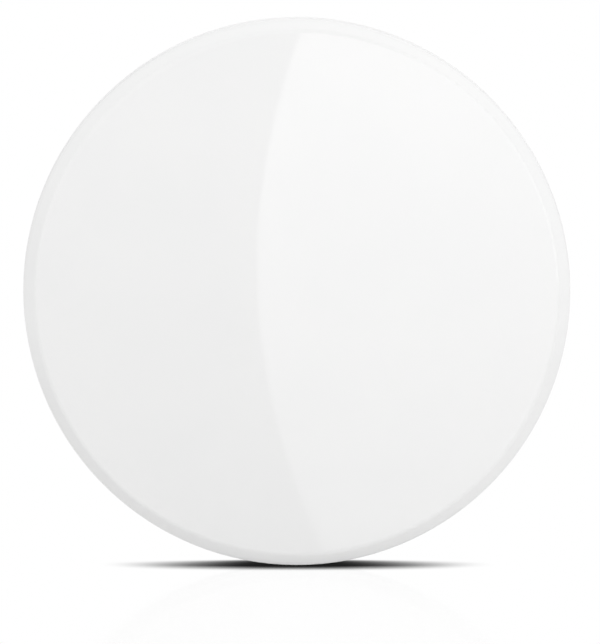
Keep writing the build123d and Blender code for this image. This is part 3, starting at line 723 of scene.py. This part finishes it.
def floor_finish():
    """White where it is seen, darkened near the object, and pale diffuse paint otherwise."""
    material, tree = start_material("white_sweep")
    leaning = {"Y": math.sin(shadow_lean), "Z": math.cos(shadow_lean)}
    leaning = add(tree, "ShaderNodeCombineXYZ", {}, leaning).outputs[0]
    feeds = {"Distance": shadow_reach, "Normal": leaning}
    near = add(tree, "ShaderNodeAmbientOcclusion", {"samples": shadow_samples}, feeds)
    lit = ramp(tree, near.outputs["AO"], shadow_black, shadow_white)
    light = blend_colours(tree, lit, grey(shadow_level), grey(1.0))
    white = add(tree, "ShaderNodeEmission", {}, {"Color": light, "Strength": 1.0})
    feeds = {"Color": grey(1.0), "Roughness": mirror_roughness}
    mirror = add(tree, "ShaderNodeBsdfGlossy", {}, feeds)
    share = calculate(tree, "MULTIPLY", lit, mirror_share)
    shown = add(tree, "ShaderNodeMixShader", {}, {0: share, 1: white.outputs[0], 2: mirror.outputs[0]})
    paint = add(tree, "ShaderNodeBsdfDiffuse", {}, {"Color": grey(paint_level)})
    feeds = {0: behind_the_scene(tree), 1: paint.outputs[0], 2: shown.outputs[0]}
    show(tree, add(tree, "ShaderNodeMixShader", {}, feeds))
    return material


print("shadow fades over %.0f mm" % (shadow_reach / MM))

# %% [markdown]
# The floor itself is a flat sheet that touches the lowest point of the disc. It belongs to the
# studio, not to the button. Glossy rays don't see it, because the photographed gloss shows no
# edge of a floor.
# %% Floor
floor_reach = 9.0


def flat_sheet(name, corners, material):
    """A flat sheet of one face for the studio, which isn't part of the object."""
    mesh = bpy.data.meshes.new(name)
    mesh.from_pydata(corners, [], [tuple(range(len(corners)))])
    mesh.materials.append(material)
    sheet = bpy.data.objects.new(name, mesh)
    bpy.context.scene.collection.objects.link(sheet)
    return sheet


floor_corners = [(-2 * floor_reach, -floor_reach, floor_height),
                 (2 * floor_reach, -floor_reach, floor_height), (0.0, 2 * floor_reach, floor_height)]
floor = flat_sheet("floor", floor_corners, floor_finish())
floor.visible_glossy = False
print("floor at %.1f mm" % (floor_height / MM))

# %% [markdown]
# The light on the object is plain and soft. Judged by the photograph, more than nine tenths of it
# comes evenly from all round, which is the world's colour for diffuse rays. The rest is one small
# soft lamp at the upper right, close enough to fade over the face. It leaves the bevelled band
# darker at the lower left. Camera, glossy and transmission rays meet pure white instead of the
# world's grey.
# %% World and key lamp
surround_level = 0.984
lamp_way = (0.6, -0.42, 0.75)
lamp_distance = 0.25
lamp_size = 0.2
lamp_power = 0.077


def make_world():
    """Even grey light from all round, and a white background wherever it is seen."""
    world = bpy.data.worlds.new("studio")
    world.use_nodes = True
    tree = world.node_tree
    tree.nodes.clear()
    colour = blend_colours(tree, behind_the_scene(tree), grey(surround_level), grey(1.0))
    background = add(tree, "ShaderNodeBackground", {}, {"Color": colour, "Strength": 1.0})
    add(tree, "ShaderNodeOutputWorld", {}, {"Surface": background.outputs[0]})
    return world


def soft_lamp(name, direction, distance, size, power):
    """A square area lamp that faces the middle of the disc's back from a direction."""
    data = bpy.data.lights.new(name, "AREA")
    data.size = size
    data.energy = power
    lamp = bpy.data.objects.new(name, data)
    way = np.array(direction) / np.linalg.norm(direction)
    lamp.location = way * distance
    facing = -lamp.location
    lamp.rotation_euler = facing.to_track_quat("-Z", "Y").to_euler()
    lamp.visible_glossy = False
    bpy.context.scene.collection.objects.link(lamp)
    return lamp


bpy.context.scene.world = make_world()
key_lamp = soft_lamp("key_lamp", lamp_way, lamp_distance, lamp_size, lamp_power)
print("key lamp at", [round(value, 3) for value in key_lamp.location])

# %% [markdown]
# One clear shape shows in the glossy face: the left edge of a round softbox, as a wide arc down
# the middle, over surroundings that grow lighter upwards. The face is a very shallow dome, so it
# shows only a few degrees of what stands in front of it. Real lamps would also light everything
# else, so the reflections come from sheets that glossy rays alone can see. The bevelled band
# mirrors what stands out to the side, so the light of a sheet often depends on the side of the
# axis that it lies on. The first helper works that out.
# %% Helpers for what the gloss reflects


def level_by_side(tree, place, side, level, inner, outer):
    """The given level within the inner angle from a side, white beyond the outer angle, and a soft
    step between. The angle is the arc cosine of the product of the two unit directions, both
    square to the axis."""
    unit = vector(tree, "NORMALIZE", square_to_axis(tree, place))
    middle = (math.cos(math.radians(side)), 0.0, math.sin(math.radians(side)))
    away = calculate(tree, "ARCCOSINE", vector(tree, "DOT_PRODUCT", unit, middle))
    return ramp(tree, away, math.radians(inner), math.radians(outer), level, 1.0)


def shine(tree, level):
    """Makes the material give off white light of the given level and do nothing else."""
    show(tree, add(tree, "ShaderNodeEmission", {}, {"Color": grey(1.0), "Strength": level}))


def reflected_sheet(name, corners, material):
    """A sheet that glossy rays see and nothing else does."""
    sheet = flat_sheet(name, corners, material)
    sheet.visible_camera = False
    sheet.visible_diffuse = False
    sheet.visible_shadow = False
    sheet.visible_transmission = False


print("helpers for reflections ready")

# %% [markdown]
# The sheet in front of the disc carries the softbox and its surroundings. On its left the softbox
# is a disc, whose rim is as crisp as it should look, and to the right it runs on, so that no second
# edge shows. Far from the axis everything fades to the level of the white cards that come next.
# %% Softbox and surroundings in front of the disc
sheet_distance = 1.2
sheet_half = 2.0
around_levels = (0.85, 2.2)
softbox_levels = (0.85, 1.45)
level_heights = (-0.2, 0.13)
softbox_radius = 0.355
softbox_centre = (0.333, 0.0, -0.041)
softbox_rim = 0.0015
softbox_spread = (0.12, 0.3)
glow_fade = (0.2, 1.5)
white_card = {"side": 78.0, "level": 1.58, "inner": 70.0, "outer": 100.0}


def glow_of_the_studio():
    """Surroundings plus softbox, both brightening upwards. Level is the card's level plus a share
    of what the two have above it, and that share falls with the distance from the axis."""
    material, tree = start_material("studio_glow")
    place = object_place(tree)
    parts = split(tree, place)
    off = [-value for value in softbox_centre]
    centred = add(tree, "ShaderNodeMapping", {}, {"Vector": place, "Location": off})
    inside = ramp(tree, from_axis(tree, centred.outputs[0]), softbox_radius - softbox_rim,
                  softbox_radius + softbox_rim, 1.0, 0.0)
    inside = calculate(tree, "MAXIMUM", inside, ramp(tree, parts["X"], *softbox_spread))
    around = ramp(tree, parts["Z"], *level_heights, *around_levels)
    added = ramp(tree, parts["Z"], *level_heights, *softbox_levels)
    softbox = calculate(tree, "MULTIPLY", inside, added)
    card = level_by_side(tree, place, **white_card)
    above_card = calculate(tree, "SUBTRACT", calculate(tree, "ADD", around, softbox), card)
    fade = ramp(tree, from_axis(tree, place), *glow_fade, 1.0, 0.0)
    level = calculate(tree, "ADD", calculate(tree, "MULTIPLY", above_card, fade), card)
    shine(tree, level)
    return material


sheet_signs = ((-1, -1), (-1, 1), (1, 1), (1, -1))
sheet_corners = [(x * sheet_half, -sheet_distance, z * sheet_half) for x, z in sheet_signs]
reflected_sheet("studio_front", sheet_corners, glow_of_the_studio())
print("sheet %.1f m across, %.1f m in front" % (2 * sheet_half, sheet_distance))

# %% [markdown]
# The bevelled band leans about 37 degrees, so it mirrors what stands out to the side of the disc.
# In the photograph it turns darker at the lower left than the lamp alone explains, and in the
# upper half it is nearly as light as the face. Photographers do that with a black card on one side
# and white card bent round the other. Here both are sheets for glossy rays again, and the bend is
# a row of flat cards. Their level depends only on the direction from the axis, and fades to the
# background's white at both ends.
# %% Cards beside the disc that the band reflects
card_distance = 0.6
card_front, card_back = -0.4, 0.06
black_card = {"side": 222.0, "level": 0.0, "inner": 12.0, "outer": 36.0}
bend_steps, bend_angle = 7, 30.0


def card_finish(name, card):
    """A card whose level depends on the direction from the axis."""
    material, tree = start_material(name)
    shine(tree, level_by_side(tree, object_place(tree), **card))
    return material


def studio_card(name, side, half_angle, material):
    """A flat card beside the disc. Its side is an angle from X, on the right, towards Z, on top."""
    angle = math.radians(side)
    half = card_distance * math.tan(math.radians(half_angle))
    out = np.array([math.cos(angle), 0.0, math.sin(angle)])
    along = np.array([-math.sin(angle), 0.0, math.cos(angle)])
    ends = ((-half, card_front), (-half, card_back), (half, card_back), (half, card_front))
    corners = [tuple(out * card_distance + along * end + (0.0, depth, 0.0)) for end, depth in ends]
    reflected_sheet(name, corners, material)


studio_card("black_card", black_card["side"], black_card["outer"], card_finish("black_card", black_card))
white_finish = card_finish("white_card", white_card)
for number in range(bend_steps):
    side = white_card["side"] + bend_angle * (number - (bend_steps - 1) / 2)
    studio_card("white_card_%d" % number, side, bend_angle / 2, white_finish)
print("black card at %.0f, white cards round %.0f degrees" % (black_card["side"], white_card["side"]))

# %% [markdown]
# The camera stands straight in front of the disc and a long way off, because the photograph shows
# no perspective: the outline is a true circle. It looks down by just under three degrees, which is
# what the thickness of the floor shadow says. The disc sits a little left of and above the middle
# of the picture, so the camera aims right of and below it.
# %% Camera
picture_width, picture_height = 600, 644
disc_pixels = 546.5
disc_centre = (296.8, 289.75)
camera_distance = 2.0
camera_elevation = math.radians(2.8)


def make_camera():
    """A long lens that shows the disc at the photograph's size and place."""
    pixel = 2 * body_radius / disc_pixels
    aim = np.array([(picture_width / 2 - disc_centre[0]) * pixel, key_low.y / 2,
                    (disc_centre[1] - picture_height / 2) * pixel])
    back = np.array([0.0, -math.cos(camera_elevation), math.sin(camera_elevation)])
    data = bpy.data.cameras.new("camera")
    data.lens = data.sensor_width * camera_distance / (picture_height * pixel)
    camera = bpy.data.objects.new("camera", data)
    camera.location = aim + back * camera_distance
    camera.rotation_euler = (math.pi / 2 - camera_elevation, 0.0, 0.0)
    bpy.context.scene.collection.objects.link(camera)
    bpy.context.scene.camera = camera
    return camera


camera = make_camera()
bpy.context.scene.view_settings.view_transform = "Standard"
print("lens %.0f mm at %.1f m" % (camera.data.lens, camera_distance))

# %% [markdown]
# Last, the view layer is brought up to date. Nothing here adds to the outside of the button.
# %% Update the scene
bpy.context.view_layer.update()
